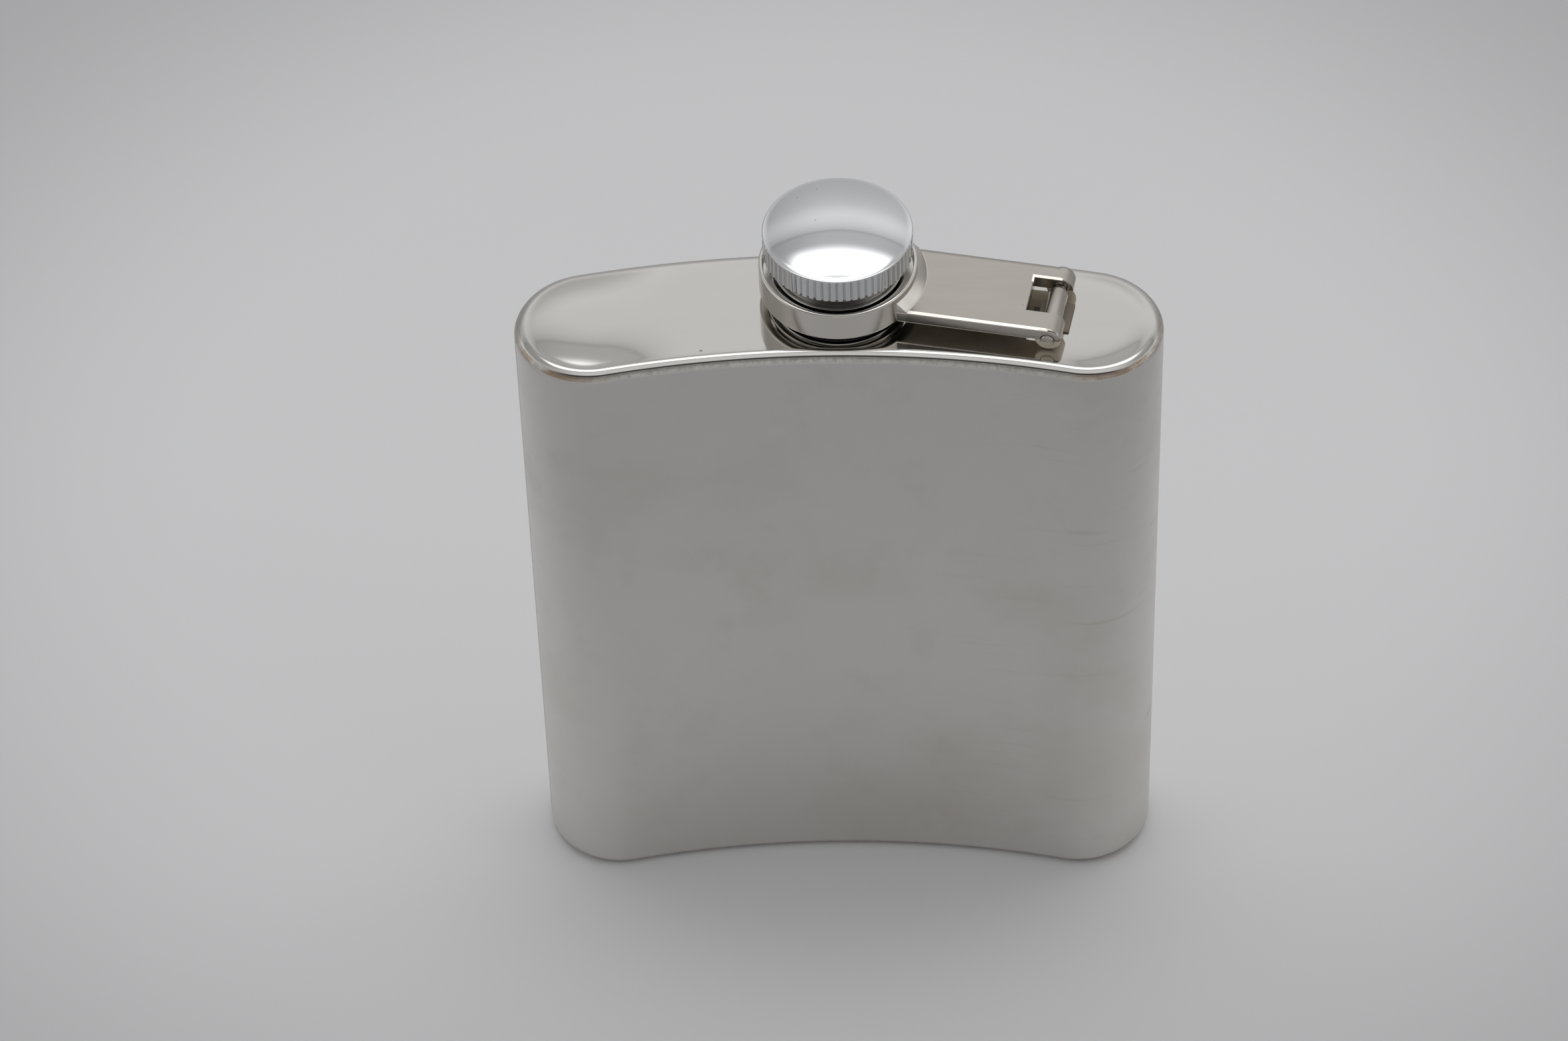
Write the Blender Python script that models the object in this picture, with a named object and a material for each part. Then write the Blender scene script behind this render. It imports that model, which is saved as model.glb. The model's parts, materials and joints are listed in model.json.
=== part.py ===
"""Pocket hip flask with a captive screw cap.

A kidney-section body of welded steel sheet stands on its flat bottom panel. A short threaded neck is
brazed in the top panel. The domed cap is held in the collar of an arm that swings on a hinge pin.

Frame: X across the width, Y from the hollow front to the round back, Z up. The origin is on the resting
face, under the middle of the body. Sizes below are in millimetres, and MM turns them into metres.
"""

from math import asin, cos, pi, radians, sin, sqrt

import bmesh
import bpy
from mathutils import Matrix, Vector

MM = 0.001
MERGE = 1e-6

# Body
BODY_WIDTH = 93.0
BODY_DEPTH = 22.0
BEND_RADIUS = 163.0
BODY_HEIGHT = 107.7
SHEET = 0.6
RIM_RADIUS = 1.85
FLANGE_DEPTH = 6.0
WELD_LOW_ANGLE = radians(20.0)
WELD_HIGH_ANGLE = radians(45.0)
SIDE_SEAM_WIDTH = 0.9
SEAT_GAP = 0.05
RUNNING_GAP = 0.05
ARC_STEPS = 12
END_STEPS = 16

# Neck
NECK_SET_BACK = 1.76
NECK_ROOT_RADIUS = 6.3
NECK_WALL = 1.2
NECK_HEIGHT = 9.3
THREAD_DEPTH = 0.5
THREAD_PITCH = 1.4
SHOULDER_LEDGE = 1.0
SHOULDER_HEIGHT = 0.6
SPIGOT_DEPTH = 1.2
BACKING_MARGIN = 0.14
NECK_SEGMENTS = 40

# Cap
CAP_TURNS = 2
THREAD_CLEARANCE = 0.9
LINER_WALL = 0.95
LINER_ROOF = 0.7
LINER_COVER = 4.3
GASKET_THICKNESS = 1.2
GASKET_HOLE_RADIUS = 3.0
SKIRT_WALL = 0.8
SKIRT_RISE = 0.8
GRIP_OVERHANG = 1.28
GRIP_HEIGHT = 3.64
GRIP_OVER_LINER = 1.42
FLUTES = 64
FLUTE_DEPTH = 0.38
DOME_HEIGHT = 2.18
DOME_WALL = 0.8

# Retaining ring
RING_SET_UP = 0.4
RING_THICKNESS = 0.65
RING_OVERLAP = 0.7
GROOVE_DEPTH = 0.5

# Arm
ARM_ANGLE = radians(-10.8)
ARM_LENGTH = 31.4
ARM_THICKNESS = 2.0
ARM_FRONT = 6.06
ARM_BACK = 8.0
COLLAR_WALL = 1.05
COLLAR_SPARE = 0.29
COLLAR_EDGE = 0.3
COLLAR_FLARE = 1.25
COLLAR_FLARE_HEIGHT = 1.7
COLLAR_LIP = 0.7
COLLAR_RIM = 1.06
COLLAR_RIM_WALL = 0.6
LIP_CLEARANCE = 0.3
RING_CLEARANCE = 0.15
ARM_EDGE = 0.35

# Hinge
PIN_RADIUS = 0.95
EYE_WALL = 0.95
EYE_CLEARANCE = 0.2
SLOT_FRONT = 2.3
SLOT_BACK = 4.5
SLOT_REACH = 3.9
KNUCKLE_WALL = 0.45
KNUCKLE_SIDE_GAP = 0.15
WEB_THICKNESS = 1.3
FOOT_LENGTH = 4.8
FOOT_THICKNESS = 0.4
PIN_PROUD = 0.15

# Sizes and places that follow from the ones above
NECK_CENTRE = Vector((0.0, NECK_SET_BACK, BODY_HEIGHT))
NECK_BORE_RADIUS = NECK_ROOT_RADIUS - NECK_WALL
NECK_CREST_RADIUS = NECK_ROOT_RADIUS + THREAD_DEPTH
NECK_TOP = BODY_HEIGHT + NECK_HEIGHT
PANEL_FOLD = 3 * SHEET + SEAT_GAP
BACKING_RADIUS = BODY_DEPTH / 2 - PANEL_FOLD - NECK_SET_BACK - BACKING_MARGIN

GASKET_BOTTOM = NECK_TOP + SEAT_GAP
LINER_BORE = NECK_CREST_RADIUS + THREAD_CLEARANCE
LINER_RADIUS = LINER_BORE + LINER_WALL
LINER_BOTTOM = NECK_TOP - LINER_COVER
LINER_CEILING = GASKET_BOTTOM + GASKET_THICKNESS + SEAT_GAP
LINER_TOP = LINER_CEILING + LINER_ROOF
SKIRT_BORE = LINER_RADIUS + SEAT_GAP
SKIRT_RADIUS = SKIRT_BORE + SKIRT_WALL
SKIRT_BOTTOM = BODY_HEIGHT + SKIRT_RISE
GRIP_RADIUS = SKIRT_RADIUS + GRIP_OVERHANG
GRIP_TOP = LINER_TOP + GRIP_OVER_LINER
GRIP_BOTTOM = GRIP_TOP - GRIP_HEIGHT

RING_RADIUS = SKIRT_RADIUS + RING_OVERLAP
RING_BOTTOM = SKIRT_BOTTOM + RING_SET_UP
RING_TOP = RING_BOTTOM + RING_THICKNESS
CAP_LIFT = THREAD_PITCH * CAP_TURNS

EYE_RADIUS = PIN_RADIUS + EYE_WALL
PIN_HEIGHT = BODY_HEIGHT + EYE_CLEARANCE + EYE_RADIUS
ARM_TOP = PIN_HEIGHT + EYE_RADIUS
ARM_BOTTOM = ARM_TOP - ARM_THICKNESS
COLLAR_BORE = RING_RADIUS + RING_CLEARANCE
COLLAR_RADIUS = COLLAR_BORE + COLLAR_WALL
LIP_TOP = RING_TOP + CAP_LIFT + COLLAR_SPARE + COLLAR_LIP
COLLAR_TOP = LIP_TOP + COLLAR_RIM
KNUCKLE_RADIUS = PIN_RADIUS + KNUCKLE_WALL
ARM_DIRECTION = Vector((cos(ARM_ANGLE), sin(ARM_ANGLE), 0.0))
PIN_CENTRE = Vector((0.0, NECK_SET_BACK, PIN_HEIGHT)) + ARM_LENGTH * ARM_DIRECTION


# ---------------------------------------------------------------- scene and materials


def clear_scene():
    for obj in list(bpy.data.objects):
        bpy.data.objects.remove(obj)


def metal(name, colour, roughness, metallic=1.0):
    material = bpy.data.materials.new(name)
    material.use_nodes = True
    shader = material.node_tree.nodes["Principled BSDF"]
    shader.inputs["Base Color"].default_value = (*colour, 1.0)
    shader.inputs["Roughness"].default_value = roughness
    shader.inputs["Metallic"].default_value = metallic
    material.diffuse_color = (*colour, 1.0)
    return material


def finished(name, bm, material=None, place=None):
    """An object whose mesh is given in millimetres, in the frame of its own pivot."""
    bmesh.ops.remove_doubles(bm, verts=bm.verts, dist=MERGE / MM)
    bmesh.ops.recalc_face_normals(bm, faces=bm.faces)
    bmesh.ops.scale(bm, vec=(MM, MM, MM), verts=bm.verts)
    mesh = bpy.data.meshes.new(name)
    bm.to_mesh(mesh)
    bm.free()
    mesh.shade_smooth()
    mesh.set_sharp_from_angle(angle=radians(35))
    obj = bpy.data.objects.new(name, mesh)
    bpy.context.scene.collection.objects.link(obj)
    if material:
        mesh.materials.append(material)
    if place:
        obj.parent = place
    return obj


def pivot(name, centre, angle=0.0):
    """An empty that carries the pieces of one moving body and stands on its joint's axis."""
    empty = bpy.data.objects.new(name, None)
    empty.empty_display_size = 5 * MM
    empty.location = centre * MM
    empty.rotation_euler = (0.0, 0.0, angle)
    bpy.context.scene.collection.objects.link(empty)
    return empty


def cut_or_join(obj, tool, operation):
    """Adds a live Boolean to obj. The tool stays as a hidden wire helper."""
    tool.hide_render = True
    tool.display_type = "WIRE"
    modifier = obj.modifiers.new(f"{operation.lower()}_{tool.name}", "BOOLEAN")
    modifier.operation = operation
    modifier.solver = "EXACT"
    modifier.object = tool


# ---------------------------------------------------------------- shapes


def arc(centre_a, centre_b, radius, start, stop, steps):
    """Points of an arc, both ends included."""
    turns = [start + (stop - start) * i / steps for i in range(steps + 1)]
    return [(centre_a + radius * cos(t), centre_b + radius * sin(t)) for t in turns]


def band_outline(inset, slit=0.0):
    """The kidney outline, a given distance inside the outer skin, anticlockwise from the left tip.

    slit is the half angle that is left open at the left tip, for the side seam.
    """
    reach = BODY_DEPTH / 2 - inset
    lean = asin((BODY_WIDTH / 2 - BODY_DEPTH / 2) / BEND_RADIUS)
    end_x = BEND_RADIUS * sin(lean)
    end_y = BEND_RADIUS * cos(lean) - BEND_RADIUS
    quarter = END_STEPS // 2
    tip = pi + lean
    front = arc(0, -BEND_RADIUS, BEND_RADIUS - reach, pi / 2 + lean, pi / 2 - lean, ARC_STEPS)
    back = arc(0, -BEND_RADIUS, BEND_RADIUS + reach, pi / 2 - lean, pi / 2 + lean, ARC_STEPS)
    path = arc(-end_x, end_y, reach, tip + slit, tip + pi / 2, quarter)
    path += front[1:]
    path += arc(end_x, end_y, reach, -pi / 2 - lean, pi / 2 - lean, END_STEPS)[1:]
    path += back[1:]
    path += arc(-end_x, end_y, reach, pi / 2 + lean, tip - slit, quarter)[1:]
    return path if slit else path[:-1]


def bridge(bm, ring_a, ring_b):
    """Joins two closed rings. The second may have twice as many points as the first."""
    count = len(ring_a)
    if len(ring_b) == count:
        for i in range(count):
            j = (i + 1) % count
            bm.faces.new((ring_a[i], ring_a[j], ring_b[j], ring_b[i]))
        return
    for i in range(count):
        j = (i + 1) % count
        middle = ring_b[2 * i + 1]
        bm.faces.new((ring_a[i], middle, ring_b[2 * i]))
        bm.faces.new((ring_a[i], ring_a[j], ring_b[2 * j], middle))


def band_ring(bm, inset, height):
    return [bm.verts.new((x, y, height)) for x, y in band_outline(inset)]


def band_tube(profile):
    """A closed profile of (inset, height) points, carried round the whole outline."""
    bm = bmesh.new()
    rings = [band_ring(bm, inset, height) for inset, height in profile]
    for ring_a, ring_b in zip(rings, rings[1:] + rings[:1]):
        bridge(bm, ring_a, ring_b)
    return bm


def band_pan(profile):
    """An open profile of (inset, height) points, closed by a flat face at each end."""
    bm = bmesh.new()
    rings = [band_ring(bm, inset, height) for inset, height in profile]
    for ring_a, ring_b in zip(rings, rings[1:]):
        bridge(bm, ring_a, ring_b)
    bm.faces.new(rings[0])
    bm.faces.new(rings[-1])
    return bm


def path_strip(profile, path_of):
    """A closed profile carried along an open path, with a flat face at both ends."""
    bm = bmesh.new()
    rows = [[bm.verts.new((x, y, height)) for x, y in path_of(inset)] for inset, height in profile]
    for row_a, row_b in zip(rows, rows[1:] + rows[:1]):
        for i in range(len(row_a) - 1):
            bm.faces.new((row_a[i], row_a[i + 1], row_b[i + 1], row_b[i]))
    bm.faces.new([row[0] for row in rows])
    bm.faces.new([row[-1] for row in rows])
    return bm


def turned(profile, segments):
    """A profile of (radius, height) points spun round Z. Ends on the axis close it; others are joined."""
    bm = bmesh.new()
    points = [bm.verts.new((radius, 0.0, height)) for radius, height in profile]
    pairs = list(zip(points, points[1:]))
    if profile[0][0] > 0 or profile[-1][0] > 0:
        pairs.append((points[-1], points[0]))
    edges = [bm.edges.new(pair) for pair in pairs]
    spun = points + edges
    bmesh.ops.spin(bm, geom=spun, axis=(0, 0, 1), angle=2 * pi, steps=segments, use_merge=True)
    return bm


def block(x_span, y_span, z_span):
    bm = bmesh.new()
    bmesh.ops.create_cube(bm, size=1.0)
    size = [high - low for low, high in (x_span, y_span, z_span)]
    middle = [(high + low) / 2 for low, high in (x_span, y_span, z_span)]
    bmesh.ops.scale(bm, vec=size, verts=bm.verts)
    bmesh.ops.translate(bm, vec=middle, verts=bm.verts)
    return bm


def rod(radius, y_span, segments=24, dome=0.0):
    """A round bar along Y. dome is how far each end bulges past its flat."""
    low, high = y_span
    ends = [(radius * 0.6, high), (0.0, high + dome)] if dome else [(0.0, high)]
    start = [(0.0, low - dome), (radius * 0.6, low)] if dome else [(0.0, low)]
    inner = dome * 0.8
    profile = start + [(radius, low + inner), (radius, high - inner)] + ends
    bm = turned(profile, segments)
    bmesh.ops.rotate(bm, matrix=Matrix.Rotation(-pi / 2, 3, "X"), verts=bm.verts)
    return bm


# ---------------------------------------------------------------- body


def rim_point(angle, top):
    """A point of the rounded rim: angle 0 is where the wall ends, a right angle where the flat starts."""
    inset = RIM_RADIUS * (1 - cos(angle))
    rise = RIM_RADIUS * (1 - sin(angle))
    return inset, BODY_HEIGHT - rise if top else rise


def rim_arc(start, stop, steps, top):
    return [rim_point(start + (stop - start) * i / steps, top) for i in range(steps + 1)]


def wall_profile():
    lower = rim_arc(WELD_LOW_ANGLE, 0.0, 2, top=False)
    upper = rim_arc(0.0, WELD_LOW_ANGLE, 2, top=True)
    return lower + upper + [(SHEET, upper[-1][1]), (SHEET, lower[0][1])]


def make_body_wall(steel):
    slit = (SIDE_SEAM_WIDTH / 2 + SEAT_GAP) / (BODY_DEPTH / 2)
    wall = path_strip(wall_profile(), lambda inset: band_outline(inset, slit))
    return finished("body_wall", wall, steel)


def make_side_seam(steel):
    half = SIDE_SEAM_WIDTH / BODY_DEPTH
    lean = asin((BODY_WIDTH - BODY_DEPTH) / 2 / BEND_RADIUS)
    end_x = -BEND_RADIUS * sin(lean)
    end_y = BEND_RADIUS * cos(lean) - BEND_RADIUS

    def bead(inset):
        return arc(end_x, end_y, BODY_DEPTH / 2 - inset, pi + lean - half, pi + lean + half, 2)

    return finished("side_seam", path_strip(wall_profile(), bead), steel)


def make_weld(name, steel, top):
    """The weld that closes the sheet's edge over the folded edge of the panel."""
    step = SEAT_GAP / RIM_RADIUS
    outer = rim_arc(WELD_LOW_ANGLE + step, WELD_HIGH_ANGLE, 3, top)
    inner = [(SHEET, outer[0][1])]
    return finished(name, band_tube(outer + inner), steel)


def pan_profile(top):
    """The pressed panel: its flat, its rounded edge and the flange that fits inside the wall."""
    step = SEAT_GAP / RIM_RADIUS
    skin = rim_arc(WELD_HIGH_ANGLE + step, pi / 2, 4, top)
    inside = -1 if top else 1
    face = skin[-1][1]
    flange_outer = SHEET + SEAT_GAP
    flange_inner = flange_outer + SHEET
    weld_foot = rim_point(WELD_LOW_ANGLE, top)[1]
    flange_end = weld_foot + inside * FLANGE_DEPTH
    under = face + inside * SHEET
    fold = SHEET * cos(pi / 4)
    return [
        (PANEL_FOLD, under),
        (PANEL_FOLD - fold, under + inside * (SHEET - fold)),
        (flange_inner, under + inside * SHEET),
        (flange_inner, flange_end),
        (flange_outer, flange_end),
        (flange_outer, weld_foot),
    ] + skin


def make_top_panel(steel):
    panel = finished("top_panel", band_pan(pan_profile(top=True)), steel)
    hole = turned([(0.0, -5.0), (NECK_ROOT_RADIUS + SEAT_GAP, -5.0),
                   (NECK_ROOT_RADIUS + SEAT_GAP, 5.0), (0.0, 5.0)], NECK_SEGMENTS)
    bmesh.ops.translate(hole, vec=NECK_CENTRE, verts=hole.verts)
    cut_or_join(panel, finished("neck_hole", hole), "DIFFERENCE")
    return panel


def make_bottom_panel(steel):
    return finished("bottom_panel", band_pan(pan_profile(top=False)), steel)


# ---------------------------------------------------------------- neck


def make_neck_spout(steel, axis):
    shoulder_bottom = BODY_HEIGHT + SEAT_GAP
    shoulder_top = shoulder_bottom + SHOULDER_HEIGHT
    spigot_end = BODY_HEIGHT - SHEET - SPIGOT_DEPTH
    profile = [
        (NECK_BORE_RADIUS, spigot_end),
        (NECK_ROOT_RADIUS, spigot_end),
        (NECK_ROOT_RADIUS, shoulder_bottom),
        (NECK_ROOT_RADIUS + SHOULDER_LEDGE, shoulder_bottom),
        (NECK_ROOT_RADIUS + SHOULDER_LEDGE, shoulder_top),
        (NECK_ROOT_RADIUS, shoulder_top),
    ]
    threads = int((NECK_HEIGHT - 1.5 * THREAD_PITCH) / THREAD_PITCH) - 1
    for i in range(threads, 0, -1):
        crest = NECK_TOP - THREAD_PITCH * i
        profile += [
            (NECK_ROOT_RADIUS, crest - THREAD_PITCH * 0.4),
            (NECK_CREST_RADIUS, crest - THREAD_PITCH * 0.1),
            (NECK_CREST_RADIUS, crest + THREAD_PITCH * 0.1),
            (NECK_ROOT_RADIUS, crest + THREAD_PITCH * 0.4),
        ]
    profile += [
        (NECK_ROOT_RADIUS, NECK_TOP - THREAD_DEPTH / 2),
        (NECK_ROOT_RADIUS - THREAD_DEPTH / 2, NECK_TOP),
        (NECK_BORE_RADIUS, NECK_TOP),
    ]
    return turned_on_axis("neck_spout", profile, NECK_SEGMENTS, steel, axis)


def make_neck_flange(steel, axis):
    top = BODY_HEIGHT - SHEET - SEAT_GAP
    bottom = top - SPIGOT_DEPTH
    bore = NECK_ROOT_RADIUS + SEAT_GAP
    profile = [(bore, bottom), (BACKING_RADIUS, bottom), (BACKING_RADIUS, top), (bore, top)]
    return turned_on_axis("neck_flange", profile, NECK_SEGMENTS, steel, axis)


def turned_on_axis(name, profile, segments, material, axis):
    """A turned piece on the cap's axis. Heights in the profile are above the resting face."""
    above_panel = [(radius, height - BODY_HEIGHT) for radius, height in profile]
    return finished(name, turned(above_panel, segments), material, axis)


# ---------------------------------------------------------------- cap


def dome_radius():
    """Radius of the sphere that gives the dome its height over the grip."""
    return (GRIP_RADIUS**2 + DOME_HEIGHT**2) / (2 * DOME_HEIGHT)


def dome_height(radius, drop=0.0):
    """Height of the dome's skin at a radius, drop below the outside."""
    sphere = dome_radius()
    return GRIP_TOP + DOME_HEIGHT - sphere + sqrt((sphere - drop) ** 2 - radius**2)


def make_cap_shell(chrome, axis):
    root = GRIP_RADIUS - FLUTE_DEPTH
    edge = FLUTE_DEPTH / 2
    groove = SKIRT_RADIUS - GROOVE_DEPTH
    bm = bmesh.new()

    def circle(radius, height):
        turns = [2 * pi * i / FLUTES for i in range(FLUTES)]
        level = height - BODY_HEIGHT
        return [bm.verts.new((radius * cos(t), radius * sin(t), level)) for t in turns]

    def fluted(height):
        ring = []
        for i in range(2 * FLUTES):
            radius = GRIP_RADIUS if i % 2 else root
            turn = pi * i / FLUTES
            ring.append(bm.verts.new((radius * cos(turn), radius * sin(turn), height - BODY_HEIGHT)))
        return ring

    dome_rim = root - edge
    below = [
        circle(SKIRT_BORE, dome_height(SKIRT_BORE, DOME_WALL)),
        circle(SKIRT_BORE, SKIRT_BOTTOM),
        circle(SKIRT_RADIUS, SKIRT_BOTTOM),
        circle(SKIRT_RADIUS, RING_BOTTOM - RUNNING_GAP),
        circle(groove, RING_BOTTOM - RUNNING_GAP),
        circle(groove, RING_TOP + RUNNING_GAP),
        circle(SKIRT_RADIUS, RING_TOP + RUNNING_GAP),
        circle(SKIRT_RADIUS, GRIP_BOTTOM - edge),
        circle(root - edge, GRIP_BOTTOM),
    ]
    above = [circle(dome_rim * share, dome_height(dome_rim * share)) for share in (1.0, 0.8, 0.5, 0.2)]
    inside = [circle(SKIRT_BORE * share, dome_height(SKIRT_BORE * share, DOME_WALL)) for share in (0.6, 0.2)]
    for ring_a, ring_b in zip(below, below[1:]):
        bridge(bm, ring_a, ring_b)
    grip_low = fluted(GRIP_BOTTOM + edge)
    grip_high = fluted(GRIP_TOP - edge)
    bridge(bm, below[-1], grip_low)
    bridge(bm, grip_low, grip_high)
    bridge(bm, above[0], grip_high)
    for ring_a, ring_b in zip(above, above[1:]):
        bridge(bm, ring_a, ring_b)
    bridge(bm, below[0], inside[0])
    bridge(bm, inside[0], inside[1])
    bm.faces.new(above[-1])
    bm.faces.new(inside[-1])
    return finished("cap_shell", bm, chrome, axis)


def make_cap_liner(plastic, axis):
    """The threaded insert. Its crests clear the neck, so the closed cap can also swing off it."""
    crest = LINER_BORE
    root = LINER_BORE + THREAD_DEPTH / 2
    profile = [(0.0, LINER_TOP), (LINER_RADIUS, LINER_TOP), (LINER_RADIUS, LINER_BOTTOM)]
    first = LINER_BOTTOM + THREAD_PITCH / 2
    count = int((LINER_CEILING - first) / THREAD_PITCH)
    profile.append((root, LINER_BOTTOM))
    for i in range(count):
        middle = first + THREAD_PITCH * i
        profile += [
            (root, middle - THREAD_PITCH * 0.35),
            (crest, middle - THREAD_PITCH * 0.1),
            (crest, middle + THREAD_PITCH * 0.1),
            (root, middle + THREAD_PITCH * 0.35),
        ]
    profile += [(root, LINER_CEILING), (0.0, LINER_CEILING)]
    return turned_on_axis("cap_liner", profile, NECK_SEGMENTS, plastic, axis)


def make_gasket(rubber, axis):
    top = GASKET_BOTTOM + GASKET_THICKNESS
    edge = LINER_BORE - SEAT_GAP
    profile = [(GASKET_HOLE_RADIUS, GASKET_BOTTOM), (edge, GASKET_BOTTOM), (edge, top), (GASKET_HOLE_RADIUS, top)]
    return turned_on_axis("gasket", profile, NECK_SEGMENTS, rubber, axis)


def make_retaining_ring(steel, axis):
    bore = SKIRT_RADIUS - GROOVE_DEPTH + RUNNING_GAP
    profile = [(bore, RING_BOTTOM), (RING_RADIUS, RING_BOTTOM), (RING_RADIUS, RING_TOP), (bore, RING_TOP)]
    return turned_on_axis("retaining_ring", profile, NECK_SEGMENTS, steel, axis)


# ---------------------------------------------------------------- arm and hinge
# These pieces are drawn in the hinge's frame: X along the arm, Y along the pin, Z up, from the pin's middle.


def in_hinge(height):
    return height - PIN_HEIGHT


def around_collar(profile, segments):
    """A turned tool on the collar's axis, drawn in the hinge's frame."""
    bm = turned([(radius, in_hinge(height)) for radius, height in profile], segments)
    bmesh.ops.translate(bm, vec=(-ARM_LENGTH, 0.0, 0.0), verts=bm.verts)
    return bm


def arm_plate():
    """The flat strap, with its long top edges rounded."""
    plate = block((-ARM_LENGTH, 0.0), (-ARM_FRONT, ARM_BACK), (in_hinge(ARM_BOTTOM), in_hinge(ARM_TOP)))
    top = in_hinge(ARM_TOP) - MERGE
    edges = [edge for edge in plate.edges if all(v.co.z > top for v in edge.verts)]
    along = [edge for edge in edges if abs(edge.verts[0].co.y - edge.verts[1].co.y) < MERGE]
    bmesh.ops.bevel(plate, geom=along, offset=ARM_EDGE, segments=2, profile=0.5, affect="EDGES", material=-1)
    return plate


def collar_body():
    round_edge = arc(COLLAR_RADIUS - COLLAR_EDGE, COLLAR_TOP - COLLAR_EDGE, COLLAR_EDGE, 0.0, pi / 2, 3)
    profile = [(0.0, ARM_BOTTOM), (COLLAR_RADIUS, ARM_BOTTOM)] + round_edge + [(0.0, COLLAR_TOP)]
    return around_collar(profile, NECK_SEGMENTS)


def collar_flare():
    """The slanted ring that runs from the collar down to the strap."""
    top = ARM_TOP + COLLAR_FLARE_HEIGHT
    bury = ARM_THICKNESS / 2
    foot = COLLAR_RADIUS + COLLAR_FLARE
    head = COLLAR_RADIUS - COLLAR_RIM_WALL / 4
    profile = [(0.0, ARM_TOP - bury), (foot, ARM_TOP - bury), (foot, ARM_TOP), (head, top), (0.0, top)]
    return around_collar(profile, NECK_SEGMENTS)


def make_captive_arm(steel, hinge):
    arm = finished("captive_arm", arm_plate(), steel, hinge)
    flare = finished("arm_flare", collar_flare(), None, hinge)
    strip = block((-ARM_LENGTH, 0.0), (ARM_EDGE - ARM_FRONT, ARM_BACK - ARM_EDGE), (-10.0, 10.0))
    cut_or_join(flare, finished("arm_flare_strip", strip, None, hinge), "INTERSECT")
    cut_or_join(arm, flare, "UNION")
    cut_or_join(arm, finished("arm_collar", collar_body(), None, hinge), "UNION")
    eye = rod(EYE_RADIUS, (-ARM_FRONT, ARM_BACK))
    cut_or_join(arm, finished("arm_eye", eye, None, hinge), "UNION")

    lip_bottom = LIP_TOP - COLLAR_LIP
    lip_radius = SKIRT_RADIUS + LIP_CLEARANCE
    rim_bore = COLLAR_RADIUS - COLLAR_RIM_WALL
    bore = [(0.0, ARM_BOTTOM - 1), (COLLAR_BORE, ARM_BOTTOM - 1), (COLLAR_BORE, lip_bottom),
            (lip_radius, lip_bottom), (lip_radius, LIP_TOP), (rim_bore, LIP_TOP),
            (rim_bore, COLLAR_TOP + 1), (0.0, COLLAR_TOP + 1)]
    cut_or_join(arm, finished("collar_bore", around_collar(bore, NECK_SEGMENTS), None, hinge), "DIFFERENCE")
    slot = block((-SLOT_REACH, 10.0), (-SLOT_FRONT, SLOT_BACK), (-5.0, 5.0))
    cut_or_join(arm, finished("arm_slot", slot, None, hinge), "DIFFERENCE")
    hole = rod(PIN_RADIUS + RUNNING_GAP, (-ARM_FRONT - 1, ARM_BACK + 1), 16)
    cut_or_join(arm, finished("arm_pin_hole", hole, None, hinge), "DIFFERENCE")
    return arm


def make_hinge_knuckle(steel, hinge):
    span = (-SLOT_FRONT + KNUCKLE_SIDE_GAP, SLOT_BACK - KNUCKLE_SIDE_GAP)
    foot_bottom = in_hinge(BODY_HEIGHT + SEAT_GAP)
    foot_top = foot_bottom + FOOT_THICKNESS
    knuckle = finished("hinge_knuckle", rod(KNUCKLE_RADIUS, span), steel, hinge)
    web = block((-WEB_THICKNESS / 2, WEB_THICKNESS / 2), span, (foot_bottom + FOOT_THICKNESS / 2, 0.0))
    foot = block((-FOOT_LENGTH / 2, FOOT_LENGTH / 2), span, (foot_bottom, foot_top))
    cut_or_join(knuckle, finished("knuckle_web", web, None, hinge), "UNION")
    cut_or_join(knuckle, finished("knuckle_foot", foot, None, hinge), "UNION")
    hole = rod(PIN_RADIUS + SEAT_GAP, (span[0] - 1, span[1] + 1), 16)
    cut_or_join(knuckle, finished("knuckle_pin_hole", hole, None, hinge), "DIFFERENCE")
    return knuckle


def make_hinge_pin(steel, hinge):
    pin = rod(PIN_RADIUS, (-ARM_FRONT, ARM_BACK), 16, dome=PIN_PROUD)
    return finished("hinge_pin", pin, steel, hinge)


def main():
    clear_scene()
    satin = metal("satin_steel", (0.55, 0.54, 0.52), 0.42)
    mirror = metal("polished_steel", (0.62, 0.61, 0.59), 0.12)
    weld = metal("ground_weld", (0.66, 0.61, 0.55), 0.3)
    chrome = metal("chrome", (0.72, 0.74, 0.77), 0.08)
    nickel = metal("nickel", (0.62, 0.59, 0.54), 0.2)
    plastic = metal("black_plastic", (0.03, 0.03, 0.03), 0.5, 0.0)
    rubber = metal("white_silicone", (0.75, 0.74, 0.7), 0.6, 0.0)

    make_body_wall(satin)
    make_side_seam(weld)
    make_weld("bottom_seam", weld, top=False)
    make_bottom_panel(satin)
    make_weld("top_seam", weld, top=True)
    make_top_panel(mirror)

    neck_axis = pivot("neck_axis", NECK_CENTRE)
    make_neck_spout(mirror, neck_axis)
    make_neck_flange(satin, neck_axis)

    hinge_axis = pivot("hinge_axis", PIN_CENTRE, ARM_ANGLE)
    make_hinge_knuckle(nickel, hinge_axis)
    make_hinge_pin(nickel, hinge_axis)
    make_captive_arm(nickel, hinge_axis)

    cap_axis = pivot("cap_axis", NECK_CENTRE)
    make_retaining_ring(nickel, cap_axis)
    make_cap_shell(chrome, cap_axis)
    make_cap_liner(plastic, cap_axis)
    make_gasket(rubber, cap_axis)


main()
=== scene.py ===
"""A steel pocket flask with a captive screw cap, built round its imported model."""

import json
from math import asin, cos, pi, radians, sin, sqrt

import bmesh
import bpy
from mathutils import Matrix, Vector, noise


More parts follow.
